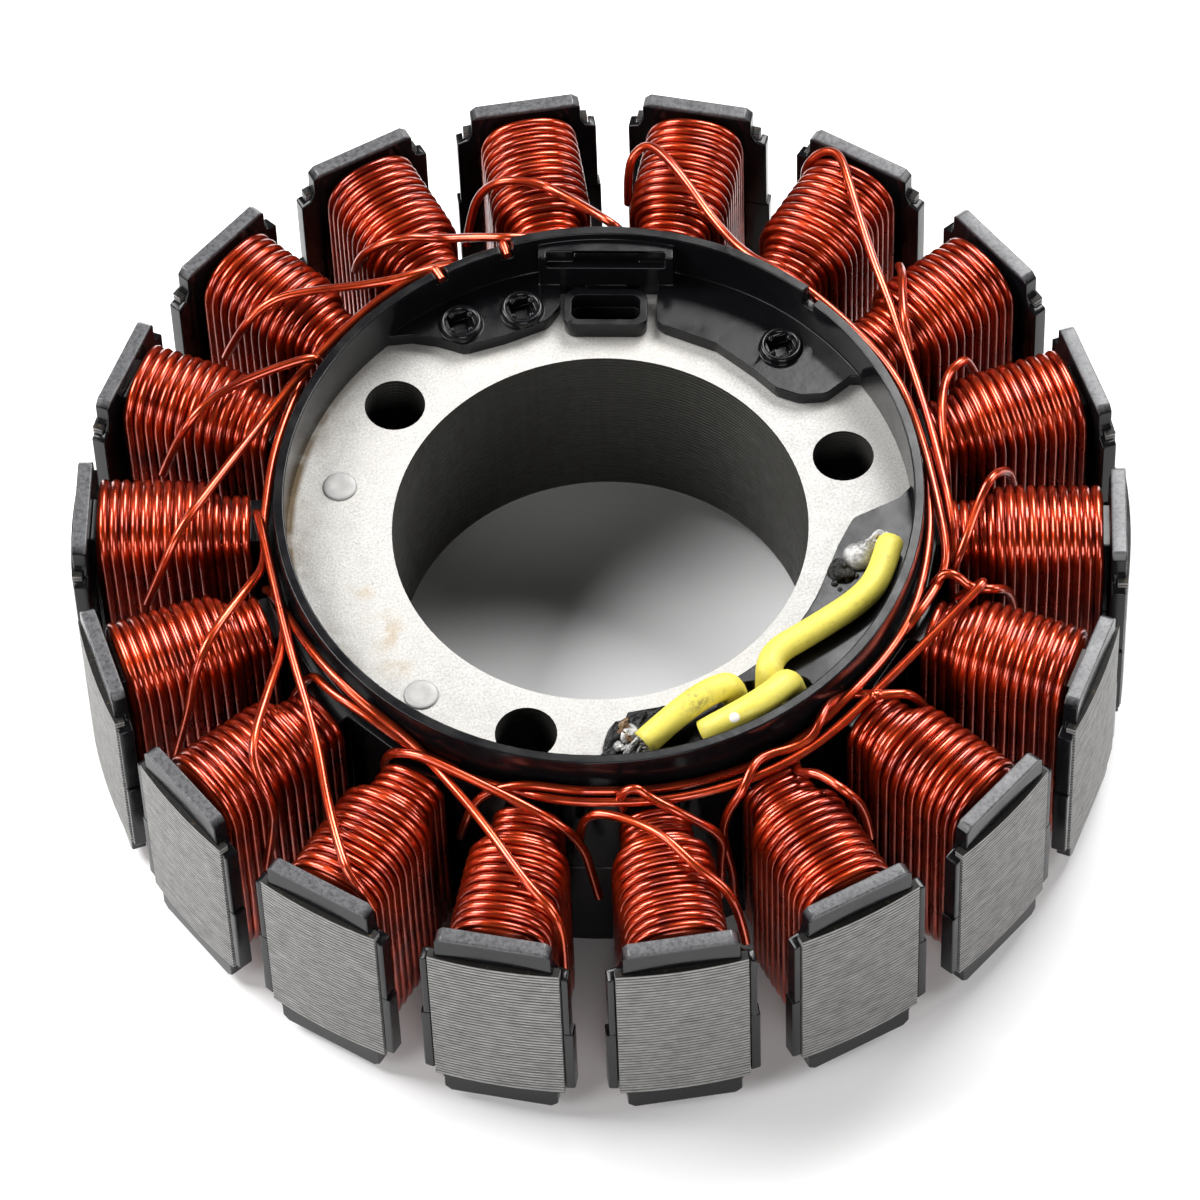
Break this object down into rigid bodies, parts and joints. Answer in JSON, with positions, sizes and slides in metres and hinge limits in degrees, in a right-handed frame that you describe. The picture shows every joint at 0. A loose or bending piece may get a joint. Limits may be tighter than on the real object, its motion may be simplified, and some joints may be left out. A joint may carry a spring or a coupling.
{
  "type": "wound stator",
  "caption": "Wound stator for a generator: steel lamination stack with insulated poles, enamelled coils, crossover wires and sleeved phase leads round an open bore.",
  "frame": {"origin": "on the bore axis, level with the lower face of the lamination stack", "axes": "+Z along the bore axis, out of the side with the leads; +X through pole 1 and the single bolt hole"},
  "size_m": [0.114, 0.114, 0.0357],
  "materials": {
    "lamination_steel": "matt rolled sheet edges, lightly stained",
    "black_moulding": "glossy glass-filled moulding",
    "enamelled_wire": "clear red-brown enamel over copper",
    "yellow_sleeve": "matt sleeving",
    "solder": "bright set solder",
    "burnt_resin": "dark glossy resin"
  },
  "bodies": {
    "root": {"coil_01": "enamelled_wire", "coil_02": "enamelled_wire", "coil_03": "enamelled_wire", "coil_04": "enamelled_wire", "coil_05": "enamelled_wire", "coil_06": "enamelled_wire", "coil_07": "enamelled_wire", "coil_08": "enamelled_wire", "coil_09": "enamelled_wire", "coil_10": "enamelled_wire", "coil_11": "enamelled_wire", "coil_12": "enamelled_wire", "coil_13": "enamelled_wire", "coil_14": "enamelled_wire", "coil_15": "enamelled_wire", "coil_16": "enamelled_wire", "coil_17": "enamelled_wire", "coil_18": "enamelled_wire", "crossover_01": "enamelled_wire", "crossover_02": "enamelled_wire", "crossover_03": "enamelled_wire", "crossover_04": "enamelled_wire", "crossover_05": "enamelled_wire", "crossover_06": "enamelled_wire", "crossover_07": "enamelled_wire", "crossover_08": "enamelled_wire", "crossover_09": "enamelled_wire", "crossover_10": "enamelled_wire", "crossover_11": "enamelled_wire", "crossover_12": "enamelled_wire", "crossover_13": "enamelled_wire", "crossover_14": "enamelled_wire", "crossover_15": "enamelled_wire", "crossover_16": "enamelled_wire", "lamination_core": "lamination_steel", "lower_insulator": "black_moulding", "phase_lead_1": "yellow_sleeve", "phase_lead_2": "yellow_sleeve", "phase_lead_3": "yellow_sleeve", "resin_blob": "burnt_resin", "solder_joint_1": "solder", "solder_joint_2": "solder", "upper_insulator": "black_moulding"}
  },
  "joints": []
}
